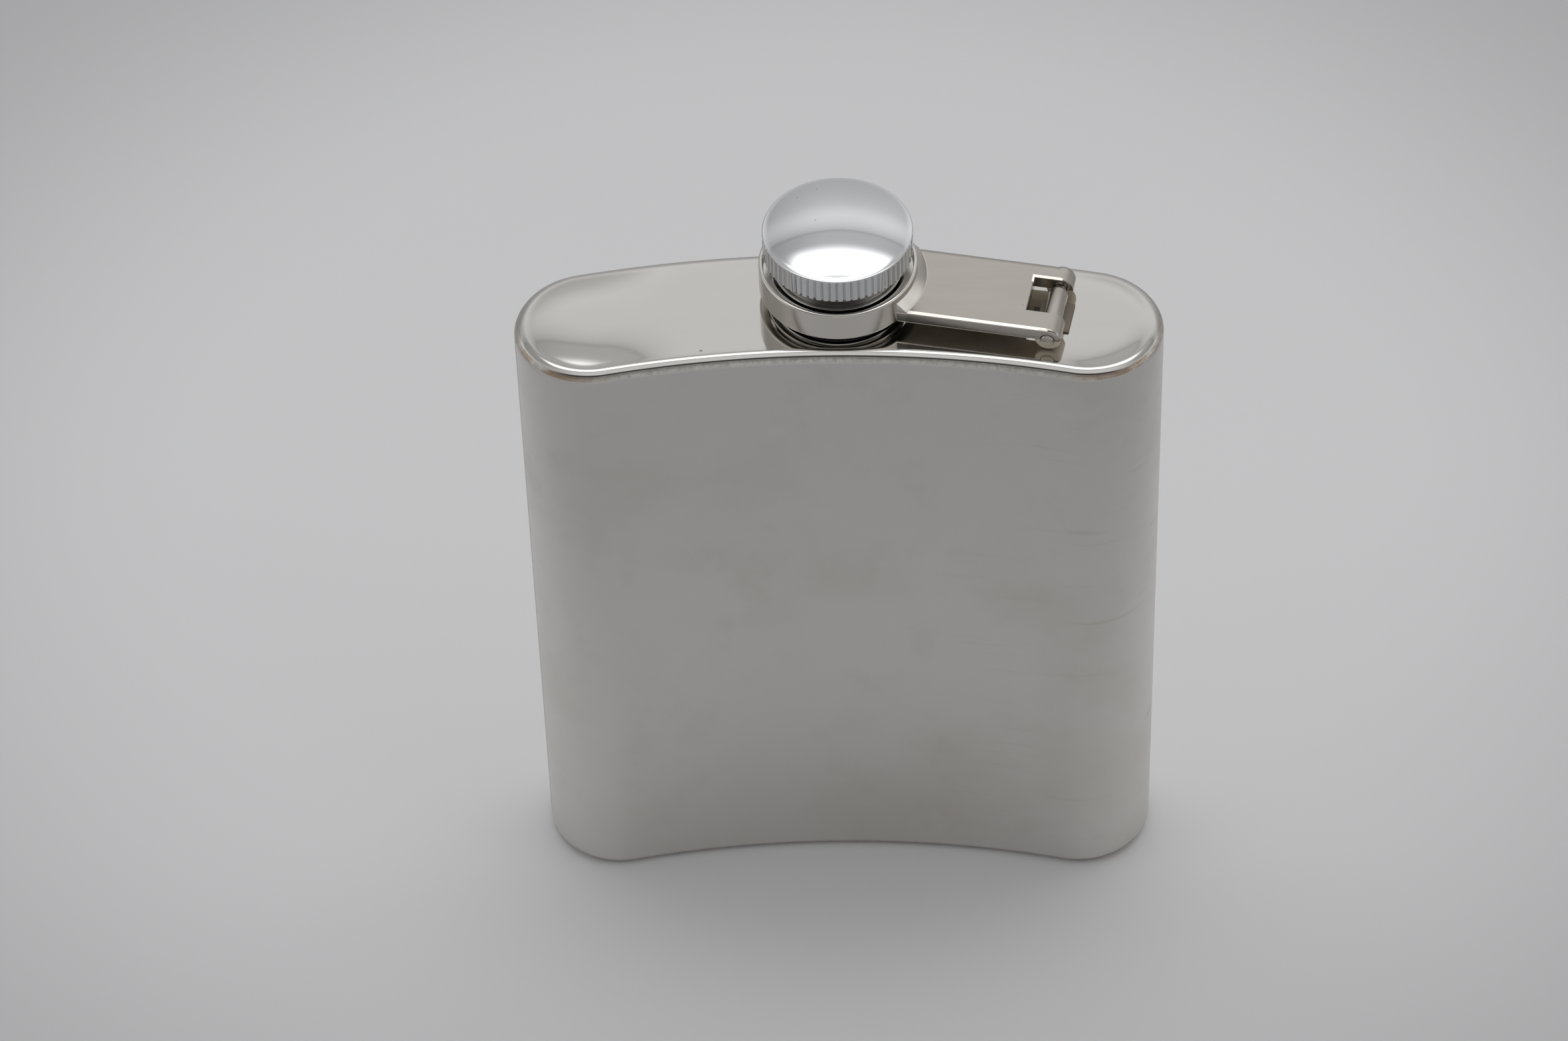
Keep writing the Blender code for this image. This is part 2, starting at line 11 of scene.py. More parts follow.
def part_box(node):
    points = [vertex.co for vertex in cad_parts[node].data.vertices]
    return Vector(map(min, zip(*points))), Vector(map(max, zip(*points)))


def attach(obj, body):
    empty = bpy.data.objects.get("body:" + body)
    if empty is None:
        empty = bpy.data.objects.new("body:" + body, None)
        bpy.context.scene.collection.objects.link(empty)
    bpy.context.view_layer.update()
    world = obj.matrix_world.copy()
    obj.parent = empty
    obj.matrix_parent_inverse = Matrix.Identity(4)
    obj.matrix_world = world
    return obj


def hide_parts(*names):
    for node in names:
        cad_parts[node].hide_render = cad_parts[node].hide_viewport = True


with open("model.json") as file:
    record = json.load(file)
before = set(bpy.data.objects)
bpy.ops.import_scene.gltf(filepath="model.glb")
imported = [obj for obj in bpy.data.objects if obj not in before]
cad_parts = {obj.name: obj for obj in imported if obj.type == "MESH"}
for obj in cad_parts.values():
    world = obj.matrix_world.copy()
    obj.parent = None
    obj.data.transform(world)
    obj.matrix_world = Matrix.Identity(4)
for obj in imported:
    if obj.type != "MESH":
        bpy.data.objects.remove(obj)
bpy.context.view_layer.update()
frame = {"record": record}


# ---------------------------------------------------------------- table, light and camera
# The flask stands on a matt white table. A large soft light hangs above and a little behind it, and
# pale walls stand round the table. Light and walls are one sky of brightness by direction.

MM = 0.001


class Level:
    """A number or colour that varies over a surface. Arithmetic on it adds Math nodes."""

    def __init__(self, finish, socket):
        self.finish = finish
        self.socket = socket

    def math(self, operation, *terms):
        values = dict(enumerate(terms))
        return self.finish.node("ShaderNodeMath", {"operation": operation}, values)

    def __add__(self, other):
        return self.math("ADD", self, other)

    def __sub__(self, other):
        return self.math("SUBTRACT", self, other)

    def __rsub__(self, other):
        return self.math("SUBTRACT", other, self)

    def __mul__(self, other):
        return self.math("MULTIPLY", self, other)

    def __truediv__(self, other):
        return self.math("DIVIDE", self, other)

    __radd__ = __add__
    __rmul__ = __mul__

    def size(self):
        return self.math("ABSOLUTE", self)

    def larger(self, other):
        return self.math("MAXIMUM", self, other)

    def length(self):
        return self.finish.node("ShaderNodeVectorMath", {"operation": "LENGTH"}, {0: self}, "Value")

    def part(self, name):
        """One component of a vector."""
        return self.finish.node("ShaderNodeSeparateXYZ", {}, {0: self}, name)

    def ramp(self, low, high, bottom=0.0, top=1.0):
        """Rises smoothly from bottom to top as this goes from low to high."""
        values = {"Value": self, "From Min": low, "From Max": high, "To Min": bottom, "To Max": top}
        settings = {"interpolation_type": "SMOOTHSTEP"}
        return self.finish.node("ShaderNodeMapRange", settings, values)


class Finish:
    """The nodes of one material, or of the sky."""

    def __init__(self, owner, shader):
        owner.use_nodes = True
        self.tree = owner.node_tree
        self.shader = self.tree.nodes[shader]

    def node(self, kind, settings, values, output=0):
        added = self.tree.nodes.new(kind)
        for name, value in settings.items():
            if name == "stops":
                self.set_stops(added.color_ramp, value)
            else:
                setattr(added, name, value)
        for name, value in values.items():
            self.put(added.inputs[name], value)
        return Level(self, added.outputs[output])

    def put(self, socket, value):
        if isinstance(value, Level):
            self.tree.links.new(value.socket, socket)
        else:
            socket.default_value = value

    def set_stops(self, ramp, stops):
        while len(ramp.elements) < len(stops):
            ramp.elements.new(1.0)
        for element, (position, shade) in zip(ramp.elements, stops):
            element.position = position
            element.color = shade

    def place(self, scale=(1.0, 1.0, 1.0), turn=(0.0, 0.0, 0.0), centre=(0.0, 0.0, 0.0)):
        """Object coordinates in millimetres from centre, then turned and scaled."""
        here = self.node("ShaderNodeTexCoord", {}, {}, "Object")
        offset = [-value for value in centre]
        values = {0: here, "Location": offset, "Scale": (1000,) * 3}
        millimetres = self.node("ShaderNodeMapping", {}, values)
        values = {0: millimetres, "Rotation": turn, "Scale": scale}
        return self.node("ShaderNodeMapping", {}, values)

    def grain(self, place, scale, detail=3.0, roughness=0.5):
        values = {"Vector": place, "Scale": scale, "Detail": detail, "Roughness": roughness}
        return self.node("ShaderNodeTexNoise", {}, values, "Fac")

    def mix(self, share, colour_a, colour_b):
        settings = {"data_type": "RGBA"}
        values = {0: share, 6: colour_a, 7: colour_b}
        return self.node("ShaderNodeMix", settings, values, 2)

    def bump(self, height, distance, strength=1.0):
        values = {"Height": height, "Distance": distance, "Strength": strength}
        return self.node("ShaderNodeBump", {}, values, "Normal")


def colour(red, green, blue):
    return (red, green, blue, 1.0)


def light_the_sky():
    """Angles are in degrees. Lean goes from the zenith to the back, side from the middle out."""
    world = bpy.data.worlds.new("studio")
    bpy.context.scene.world = world
    sky = Finish(world, "Background")
    toward = sky.node("ShaderNodeTexCoord", {}, {}, "Generated")
    back = toward.part("Y")
    up = toward.part("Z").larger(0.001)
    lean = back.math("ARCTAN2", back, up) * (180 / pi)
    side = toward.part("X").math("ARCSINE", toward.part("X")) * (180 / pi)

    wall_levels = [
        (-90, 0.72), (-60, 0.62), (-28, 0.80), (-8, 0.80), (0, 0.62), (26, 0.60), (32, 0.56),
        (35.6, 0.56), (36.2, 0.48), (37.2, 0.48), (38, 0.62), (41, 0.72), (45, 0.82), (50, 0.86),
        (55, 0.78), (60, 0.67), (65, 0.61), (71, 0.57), (78, 0.535), (90, 0.50),
    ]
    stops = [(angle / 180 + 0.5, colour(level, level, level)) for angle, level in wall_levels]
    walls = sky.node("ShaderNodeValToRGB", {"stops": stops}, {"Fac": lean / 180 + 0.5})
    walls = walls * (1 - (side - 6).size().ramp(10, 44, 0.0, 0.34))
    walls = walls + side.size().ramp(50, 68) * 0.40
    # The unlit room behind the camera makes the cap's skirt and the neck dark.
    dark_room = (1 - (lean + 48).size().ramp(12, 20)) * (1 - side.size().ramp(45, 62))
    # The lamp's soft outline is the white oval on the cap.
    lamp_end = lean.ramp(2, 10) * (1 - lean.ramp(15, 28))
    lamp = lamp_end * (1 - (side - 2).size().ramp(20, 31)) * 2.1
    brightness = walls * (1 - dark_room * 0.93) + lamp
    channels = {0: brightness, 1: brightness, 2: brightness * 1.01}
    tint = sky.node("ShaderNodeCombineXYZ", {}, channels)
    sky.put(sky.shader.inputs["Color"], tint)


def lay_the_table():
    """A top 8 m across. Its colour is painted darker away from the lamp, a painted light falloff.
    """
    bm = bmesh.new()
    bmesh.ops.create_grid(bm, x_segments=1, y_segments=1, size=4.0)
    mesh = bpy.data.meshes.new("table_top")
    bm.to_mesh(mesh)
    bm.free()
    table = bpy.data.objects.new("table_top", mesh)
    bpy.context.scene.collection.objects.link(table)
    material = bpy.data.materials.new("white_laminate")
    laminate = Finish(material, "Principled BSDF")
    reach = laminate.place((1 / 118, 1 / 108, 0.0), centre=(-11.0, 68.0, 0.0)).length()
    # The outer colour is painted shade: the light's falloff away from the lamp, painted on the top.
    near, painted_falloff_shade = colour(0.80, 0.80, 0.805), colour(0.545, 0.545, 0.55)
    shade = laminate.mix(reach.ramp(0.8, 1.75), near, painted_falloff_shade)
    laminate.put(laminate.shader.inputs["Base Color"], shade)
    laminate.put(laminate.shader.inputs["Roughness"], 0.65)
    mesh.materials.append(material)


def aim_the_camera():
    data = bpy.data.cameras.new("table_camera")
    data.lens = 137.55
    data.sensor_width = 36.0
    camera = bpy.data.objects.new("table_camera", data)
    bpy.context.scene.collection.objects.link(camera)
    down, turn, roll = radians(46.742), radians(2.380), radians(1.950)
    rotation = Matrix.Rotation(turn, 3, "Z") @ Matrix.Rotation(pi / 2 - down, 3, "X")
    rotation = rotation @ Matrix.Rotation(-roll, 3, "Z")
    spot = Vector((16.49, -610.91, 711.84)) * MM
    camera.matrix_world = Matrix.Translation(spot) @ rotation.to_4x4()
    bpy.context.scene.camera = camera


light_the_sky()
lay_the_table()
aim_the_camera()
bpy.context.scene.view_settings.view_transform = "Standard"


# ---------------------------------------------------------------- body wall
# One strip of stainless sheet, 0.6 mm thick, is bent round a kidney-shaped former. Its edges are
# turned in a little where the panels are welded on, and the outside is given a satin polish.

body_low, body_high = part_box("body_wall")
lid_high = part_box("top_panel")[1]
sheet = 0.6
band_depth = 22.0
bend_radius = 163.0
rim_radius = 1.85
body_width = (body_high.x - body_low.x) / MM
body_height = lid_high.z / MM
weld_low = radians(20)
weld_high = radians(45)
end_x = (body_width - band_depth) / 2
lean_angle = asin(end_x / bend_radius)
end_y = bend_radius * cos(lean_angle) - bend_radius
arc_steps = 64
end_steps = 48


def rim_arc(start, stop, steps, top):
    """Points (inset, height) on the rounded rim. Angle 0 is the wall, 90 degrees the flat."""
    points = []
    for i in range(steps + 1):
        turn = start + (stop - start) * i / steps
        inset = rim_radius * (1 - cos(turn))
        rise = rim_radius * (1 - sin(turn))
        points.append((inset, body_height - rise if top else rise))
    return points


def upright_chain(bm, points, closed):
    """A chain of edges from (inset, height) points, at the left tip of the kidney outline."""
    verts = [bm.verts.new((0, inset - band_depth / 2, height)) for inset, height in points]
    ends = list(zip(verts, verts[1:]))
    if closed:
        ends.append((verts[-1], verts[0]))
    edges = [bm.edges.new(pair) for pair in ends]
    spot = Matrix.Rotation(lean_angle, 3, "Z")
    bmesh.ops.rotate(bm, verts=verts, cent=(0, -bend_radius, 0), matrix=spot)
    back_to_tip = Matrix.Rotation(-pi / 2, 3, "Z")
    bmesh.ops.rotate(bm, verts=verts, cent=(-end_x, end_y, 0), matrix=back_to_tip)
    return verts + edges


def carried_round(bm, chain, slit=0.0):
    """Spins the chain along the left end, the hollow front, the right end, the back, and home."""
    if slit:
        verts = [part for part in chain if isinstance(part, bmesh.types.BMVert)]
        aside = Matrix.Rotation(slit, 3, "Z")
        bmesh.ops.rotate(bm, verts=verts, cent=(-end_x, end_y, 0), matrix=aside)
    bend = (0, -bend_radius, 0)
    left = (-end_x, end_y, 0)
    right = (end_x, end_y, 0)
    stretches = [
        (left, pi / 2 - slit, end_steps // 2),
        (bend, -2 * lean_angle, arc_steps),
        (right, pi, end_steps),
        (bend, 2 * lean_angle, arc_steps),
        (left, pi / 2 - slit, end_steps // 2),
    ]
    for centre, turn, steps in stretches:
        spun = bmesh.ops.spin(bm, geom=chain, cent=centre, axis=(0, 0, 1), angle=turn, steps=steps)
        chain = spun["geom_last"]
    return chain


def close_up(bm):
    """Merges what meets and turns every face outwards."""
    bmesh.ops.remove_doubles(bm, verts=bm.verts, dist=0.003)
    bmesh.ops.dissolve_degenerate(bm, edges=bm.edges, dist=0.0002)
    bmesh.ops.recalc_face_normals(bm, faces=bm.faces)


def made(name, bm, material=None, sharp=radians(32)):
    """Turns a bmesh in millimetres into an object in metres, smooth but for its sharp edges."""
    bmesh.ops.scale(bm, vec=(MM, MM, MM), verts=bm.verts)
    mesh = bpy.data.meshes.new(name)
    bm.to_mesh(mesh)
    bm.free()
    mesh.shade_smooth()
    mesh.set_sharp_from_angle(angle=sharp)
    piece = bpy.data.objects.new(name, mesh)
    bpy.context.scene.collection.objects.link(piece)
    if material:
        mesh.materials.append(material)
    return piece


def stand_for(piece, body, slot, *nodes):
    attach(piece, body)
    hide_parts(*nodes)


def satin_steel():
    material = bpy.data.materials.new("satin_steel")
    steel = Finish(material, "Principled BSDF")
    cloud = steel.grain(steel.place((0.03, 0.05, 0.04), (0, 0.4, 0)), 1.0, 4.0, 0.55)
    blotch = steel.grain(steel.place((0.11, 0.1, 0.09), (0, -0.5, 0), (7, 0, 3)), 1.0, 5.0, 0.6)
    stain = cloud.ramp(0.45, 0.68) * 0.55 + blotch.ramp(0.52, 0.74) * 0.45
    smear_place = steel.place((0.045, 0.1, 0.62), (0, 0.12, 0), (11, 0, 5))
    smear_zone = steel.place().part("X").ramp(8, 30)
    smear = steel.grain(smear_place, 1.0, 3.0, 0.5).ramp(0.60, 0.76) * smear_zone
    marks = stain * 0.6 + smear * 0.5
    shade = steel.mix(marks, colour(0.705, 0.687, 0.658), colour(0.590, 0.558, 0.512))
    steel.put(steel.shader.inputs["Base Color"], shade)
    steel.put(steel.shader.inputs["Metallic"], 1.0)
    brushing = steel.grain(steel.place((3.0, 3.0, 0.12)), 1.0, 2.0)
    haze = steel.grain(steel.place((0.2, 0.2, 0.2)), 1.0, 3.0)
    rough = 0.34 + marks * 0.06 + (brushing - 0.5) * 0.05 + (haze - 0.5) * 0.06
    steel.put(steel.shader.inputs["Roughness"], rough)
    fine = steel.grain(steel.place((6.0, 6.0, 0.5)), 1.0, 2.0)
    steel.put(steel.shader.inputs["Normal"], steel.bump(fine, 0.00001, 0.35))
    return material


def wall_points():
    lower = rim_arc(weld_low, 0.0, 6, top=False)
    upper = rim_arc(0.0, weld_low, 6, top=True)
    return lower + upper + [(sheet, upper[-1][1]), (sheet, lower[0][1])]


seam_width = 0.9
seam_half = seam_width / 2 / (band_depth / 2)
satin = satin_steel()
bm = bmesh.new()
start = upright_chain(bm, wall_points(), closed=True)
start_edges = [part for part in start if isinstance(part, bmesh.types.BMEdge)]
last = carried_round(bm, start, seam_half)
last_edges = [part for part in last if isinstance(part, bmesh.types.BMEdge)]
bmesh.ops.contextual_create(bm, geom=start_edges)
bmesh.ops.contextual_create(bm, geom=last_edges)
close_up(bm)
wall = made("satin_wall", bm, satin)
stand_for(wall, "flask_body", "satin_body", "body_wall")


# ---------------------------------------------------------------- side seam
# The two edges of the strip meet at the left tip. The weld there is ground flush and polished with
# the rest, so it shows only as a fine line with a trace of straw colour.


def ground_weld():
    material = bpy.data.materials.new("ground_weld")
    weld = Finish(material, "Principled BSDF")
    place = weld.place()
    along = place.part("X")
    ripple = weld.grain(weld.place((1.6, 1.6, 0.8)), 1.0, 4.0, 0.65)
    fleck = weld.grain(weld.place((0.9, 2.5, 3.0), (0, 0, 0.2)), 1.0, 3.0, 0.6)
    tint_place = along.size().ramp(30, 41) * (1 - along.size().ramp(43, 46.5, 0.0, 0.7))
    patch = weld.grain(weld.place((0.25, 0.25, 0.6), (0, 0, 0), (3, 0, 0)), 1.0, 3.0, 0.6)
    tint = tint_place * patch.ramp(0.38, 0.60)
    bare = weld.mix(ripple.ramp(0.35, 0.7), colour(0.66, 0.64, 0.60), colour(0.50, 0.48, 0.45))
    shade = weld.mix(tint * 0.8, bare, colour(0.40, 0.27, 0.17))
    weld.put(weld.shader.inputs["Base Color"], shade)
    weld.put(weld.shader.inputs["Metallic"], 1.0)
    weld.put(weld.shader.inputs["Roughness"], 0.32 + ripple * 0.18 + fleck.ramp(0.5, 0.8) * 0.12)
    height = ripple + fleck * 0.6
    weld.put(weld.shader.inputs["Normal"], weld.bump(height, 0.00004, 0.8))
    return material


weld_steel = ground_weld()
bm = bmesh.new()
chain = upright_chain(bm, wall_points(), closed=True)
chain_verts = [part for part in chain if isinstance(part, bmesh.types.BMVert)]
seam_turn = Matrix.Rotation(-seam_half, 3, "Z")
bmesh.ops.rotate(bm, verts=chain_verts, cent=(-end_x, end_y, 0), matrix=seam_turn)
spun = bmesh.ops.spin(
    bm, geom=chain, cent=(-end_x, end_y, 0), axis=(0, 0, 1), angle=2 * seam_half, steps=4
)
for side_geometry in (chain, spun["geom_last"]):
    side_edges = [part for part in side_geometry if isinstance(part, bmesh.types.BMEdge)]
    bmesh.ops.contextual_create(bm, geom=side_edges)
close_up(bm)
seam = made("side_weld_line", bm, weld_steel)
stand_for(seam, "flask_body", "weld", "side_seam")


# ---------------------------------------------------------------- bottom and top panels
# Both panels are pressed from the same sheet: a flat, a rounded edge and a flange inside the wall.
# The lid is buffed to a mirror. Its free end stays slightly crowned. At the hinge end only the edge
# does, so that the swung arm can pass.

flange_depth = 6.0
crown_length = 17.0
free_crown_start = 21.0
free_crown_rise = 0.75
hinge_crown_start = 26.0
hinge_crown_rise = 0.28
hinge_crown_reach = 0.4
flat_rings = 14
fit_gap = 0.02
knee = 3 * sheet + 0.05


def panel_points(top):
    """The section from the middle line out, round the edge, down the flange and back inside."""
    inward = -1 if top else 1
    face = body_height if top else 0.0
    middle = band_depth / 2
    flat = [middle + (rim_radius - middle) * i / flat_rings for i in range(flat_rings)]
    edge = rim_arc(pi / 2, weld_high, 10, top)
    foot = rim_arc(weld_low, weld_low, 1, top)[0][1]
    outer = sheet + fit_gap
    tip = foot + inward * flange_depth
    skin = [(inset, face) for inset in flat] + edge + [(outer, foot), (outer, tip)]
    under = face + inward * sheet
    inner = outer + sheet
    fold = [(inner, tip), (inner, under + inward * sheet)]
    for i in range(1, 5):
        turn = pi / 2 * i / 4
        fold.append((inner + sheet * (1 - cos(turn)), under + inward * sheet * (1 - sin(turn))))
    below = [(inset, under) for inset in reversed(flat) if inset > knee + 0.2]
    return skin + fold + below


def smooth_step(value, low, high):
    share = min(max((value - low) / (high - low), 0.0), 1.0)
    return share * share * (3 - 2 * share)


def inset_of(point):
    """How far a point of the plan lies inside the kidney outline."""
    x, y = point.x, point.y
    if abs(x) * cos(lean_angle) > (y + bend_radius) * sin(lean_angle):
        return band_depth / 2 - sqrt((abs(x) - end_x) ** 2 + (y - end_y) ** 2)
    return band_depth / 2 - abs(sqrt(x * x + (y + bend_radius) ** 2) - bend_radius)


def crown_the_lid(bm):
    for vert in bm.verts:
        on_hinge_end = vert.co.x > 0
        start = hinge_crown_start if on_hinge_end else free_crown_start
        rise = hinge_crown_rise if on_hinge_end else free_crown_rise
        reach = hinge_crown_reach if on_hinge_end else 1.0
        end_share = smooth_step(abs(vert.co.x), start, start + crown_length)
        depth = (inset_of(vert.co) - rim_radius) / (band_depth / 2 - rim_radius)
        if depth > 0 and vert.co.z > body_height - 2 * sheet:
            vert.co.z += rise * end_share * (1 - (1 - min(depth / reach, 1.0)) ** 3)


def panel(top):
    bm = bmesh.new()
    chain = upright_chain(bm, panel_points(top), closed=False)
    carried_round(bm, chain)
    close_up(bm)
    return bm


def mirror_steel():
    material = bpy.data.materials.new("mirror_steel")
    steel = Finish(material, "Principled BSDF")
    wipe = steel.grain(steel.place((0.05, 0.4, 0.2), (0, 0, 0.3)), 1.0, 4.0, 0.6)
    speck = steel.grain(steel.place((0.9, 0.9, 0.9), (0.4, 0.2, 0.1)), 1.0, 1.0, 0.4)
    speck = speck.ramp(0.80, 0.84)
    clean = steel.mix(wipe, colour(0.635, 0.620, 0.590), colour(0.610, 0.592, 0.560))
    shade = steel.mix(speck * 0.7, clean, colour(0.20, 0.19, 0.18))
    steel.put(steel.shader.inputs["Base Color"], shade)
    steel.put(steel.shader.inputs["Metallic"], 1.0)
    steel.put(steel.shader.inputs["Roughness"], 0.05 + wipe * 0.05 + speck * 0.3)
    wave = steel.grain(steel.place((0.05, 0.05, 0.05)), 1.0, 1.0)
    steel.put(steel.shader.inputs["Normal"], steel.bump(wave, 0.0004, 0.15))
    return material


bottom = made("pressed_base", panel(top=False), satin)
stand_for(bottom, "flask_body", "satin_body", "bottom_panel")
mirror = mirror_steel()
bm = panel(top=True)
crown_the_lid(bm)
lid = made("pressed_lid", bm, mirror)
stand_for(lid, "flask_body", "polished_panel", "top_panel")


# ---------------------------------------------------------------- rim welds
# A weld closes the wall's turned-in edge over each panel. It is ground and buffed round to the
# rim's radius, which leaves a narrow ragged band with brown heat tint near the corners.

weld_ripple = 0.018


def rim_weld(top):
    bm = bmesh.new()
    skin = rim_arc(weld_low, weld_high, 6, top)
    root = (sheet, skin[0][1])
    chain = upright_chain(bm, skin + [root], closed=True)
    carried_round(bm, chain)
    close_up(bm)
    for vert in bm.verts:
        ripple = noise.noise(vert.co * 0.8) + 0.5 * noise.noise(vert.co * 2.1)
        vert.co.z += weld_ripple * ripple
    return bm


welds = [("base_rim_weld", "bottom_seam", False), ("lid_rim_weld", "top_seam", True)]
for weld_name, node, top in welds:
    bead = made(weld_name, rim_weld(top), weld_steel)
    stand_for(bead, "flask_body", "weld", node)


# ---------------------------------------------------------------- neck
# A short tube, turned from stainless bar with a coarse screw thread. Its shoulder sits on the lid,
# its spigot passes through, and a backing ring holds it from below while it is brazed.

neck_low, neck_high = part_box("neck_spout")
neck_centre = (neck_low + neck_high) / 2 / MM
neck_bottom = neck_low.z / MM
neck_top = neck_high.z / MM
neck_shoulder = (neck_high.x - neck_low.x) / 2 / MM
neck_bore = 5.1
neck_root = 6.3
thread_depth = 0.5
thread_pitch = 1.4
thread_runout = 0.9
shoulder_height = 0.62
fine_steps = 96


def eased(points, steps=4):
    """Rounds the corners of a closed (radius, height, easing) outline."""
    rounded = []
    count = len(points)
    for i, (radius, height, easing) in enumerate(points):
        corner = Vector((radius, height))
        before = Vector(points[i - 1][:2]) - corner
        after = Vector(points[(i + 1) % count][:2]) - corner
        if easing <= 0:
            rounded.append(tuple(corner))
            continue
        reach_a = before.normalized() * min(easing, before.length * 0.45)
        reach_b = after.normalized() * min(easing, after.length * 0.45)
        for j in range(steps + 1):
            share = j / steps
            spot = corner + reach_a * (1 - share) ** 2 + reach_b * share**2
            rounded.append(tuple(spot))
    return rounded


def turned(points, steps, centre=(0.0, 0.0), closed=True):
    """Spins a (radius, height) outline round an upright axis."""
    bm = bmesh.new()
    verts = [bm.verts.new((radius, 0, height)) for radius, height in points]
    ends = list(zip(verts, verts[1:]))
    if closed:
        ends.append((verts[-1], verts[0]))
    edges = [bm.edges.new(pair) for pair in ends]
    geometry = verts + edges
    bmesh.ops.spin(bm, geom=geometry, axis=(0, 0, 1), angle=2 * pi, steps=steps, use_merge=True)
    close_up(bm)
    bmesh.ops.translate(bm, vec=(centre[0], centre[1], 0), verts=bm.verts)
    return bm


def thread_ridge(root, crest, start, turns, width):
    """A helical ridge. Its ends run out into the tube's wall."""
    bm = bmesh.new()
    steps = int(48 * turns)
    outline = [(root, -width / 2), (crest, -width / 6), (crest, width / 6), (root, width / 2)]
    verts = [bm.verts.new((radius, 0, start + height)) for radius, height in outline]
    ends = list(zip(verts, verts[1:] + verts[:1]))
    edges = [bm.edges.new(pair) for pair in ends]
    rise = thread_pitch * turns / steps
    turn = 2 * pi * turns
    spun = bmesh.ops.spin(
        bm, geom=verts + edges, axis=(0, 0, 1), dvec=(0, 0, rise), angle=turn, steps=steps
    )
    tail = [part for part in spun["geom_last"] if isinstance(part, bmesh.types.BMEdge)]
    bmesh.ops.contextual_create(bm, geom=edges)
    bmesh.ops.contextual_create(bm, geom=tail)
    bmesh.ops.recalc_face_normals(bm, faces=bm.faces)
    lowest = start - width / 2
    highest = start + thread_pitch * turns + width / 2
    for vert in bm.verts:
        radius = sqrt(vert.co.x**2 + vert.co.y**2)
        fade = smooth_step(vert.co.z, lowest, lowest + thread_runout)
        fade *= 1 - smooth_step(vert.co.z, highest - thread_runout, highest)
        wanted = root + (radius - root) * fade
        vert.co.x *= wanted / radius
        vert.co.y *= wanted / radius
    return bm


def settled(piece, *tools):
    """Applies the piece's modifiers and removes the tools they used."""
    bpy.context.view_layer.update()
    graph = bpy.context.evaluated_depsgraph_get()
    mesh = bpy.data.meshes.new_from_object(piece.evaluated_get(graph))
    piece.modifiers.clear()
    piece.data = mesh
    for tool in tools:
        bpy.data.objects.remove(tool)
    return piece


def worked(piece, tool, operation):
    """Joins a tool to the piece, or cuts it out."""
    modifier = piece.modifiers.new("work", "BOOLEAN")
    modifier.operation = operation
    modifier.solver = "EXACT"
    modifier.object = tool
    return settled(piece, tool)


neck_outline = eased([
    (neck_bore, neck_bottom, 0.1),
    (neck_root, neck_bottom, 0.2),
    (neck_root, body_height + 0.05, 0.0),
    (neck_shoulder, body_height + 0.02, 0.05),
    (neck_shoulder, body_height + shoulder_height, 0.3),
    (neck_root, body_height + shoulder_height, 0.15),
    (neck_root, neck_top, 0.35),
    (neck_bore, neck_top, 0.25),
])
neck_place = (neck_centre.x, neck_centre.y)
neck = made("threaded_neck", turned(neck_outline, fine_steps, neck_place), mirror)
ridge = thread_ridge(neck_root - 0.08, neck_root + thread_depth, body_height + 3.1, 3.2, 1.0)
bmesh.ops.translate(ridge, vec=(neck_centre.x, neck_centre.y, 0), verts=ridge.verts)
neck = worked(neck, made("neck_ridge", ridge), "UNION")
stand_for(neck, "flask_body", "polished_panel", "neck_spout")

ring_low, ring_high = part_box("neck_flange")
ring_radius = (ring_high.x - ring_low.x) / 2 / MM
backing = eased([
    (neck_root + 0.05, ring_low.z / MM, 0.1),
    (ring_radius, ring_low.z / MM, 0.2),
    (ring_radius, ring_high.z / MM, 0.1),
    (neck_root + 0.05, ring_high.z / MM, 0.1),
])
ring = made("neck_backing_ring", turned(backing, fine_steps, neck_place), satin)
stand_for(ring, "flask_body", "satin_body", "neck_flange")

hole_radius = neck_root + 0.03
hole_outline = [
    (0.0, body_height - 5), (hole_radius, body_height - 5),
    (hole_radius, body_height + 5), (0.0, body_height + 5),
]
hole = made("neck_hole", turned(hole_outline, fine_steps, neck_place))
lid = worked(lid, hole, "DIFFERENCE")
lid.data.shade_smooth()
lid.data.set_sharp_from_angle(angle=radians(32))


# ---------------------------------------------------------------- hinge knuckle and pin
# A short barrel on a narrow web and a foot that is brazed to the lid. A steel pin passes through it
# and through the arm's two prongs, and its ends are domed over like a rivet's.

arm_angle = radians(-10.8)
hinge = frame["record"]["behaviour"]["joints"][0]
pin_height = hinge["pos_m"][2] / MM
pin_place = Vector(hinge["pos_m"]) / MM
pin_radius = 0.95
pin_dome = 0.3
knuckle_radius = 1.4
web_half = 0.65
foot_half = 2.4
slot_front = -2.3
slot_back = 4.5
arm_front = -6.06
arm_back = 8.0


def in_the_hinge(bm):
    """Moves a bmesh drawn along the arm, from the pin, to its place on the flask."""
    bmesh.ops.rotate(bm, verts=bm.verts, cent=(0, 0, 0), matrix=Matrix.Rotation(arm_angle, 3, "Z"))
    bmesh.ops.translate(bm, vec=pin_place, verts=bm.verts)
    return bm


def bar(outline, steps=48):
    """A turned bar that lies along the pin. The outline is (radius, place along the pin)."""
    bm = turned(outline, steps, closed=False)
    bmesh.ops.rotate(bm, verts=bm.verts, cent=(0, 0, 0), matrix=Matrix.Rotation(-pi / 2, 3, "X"))
    return bm


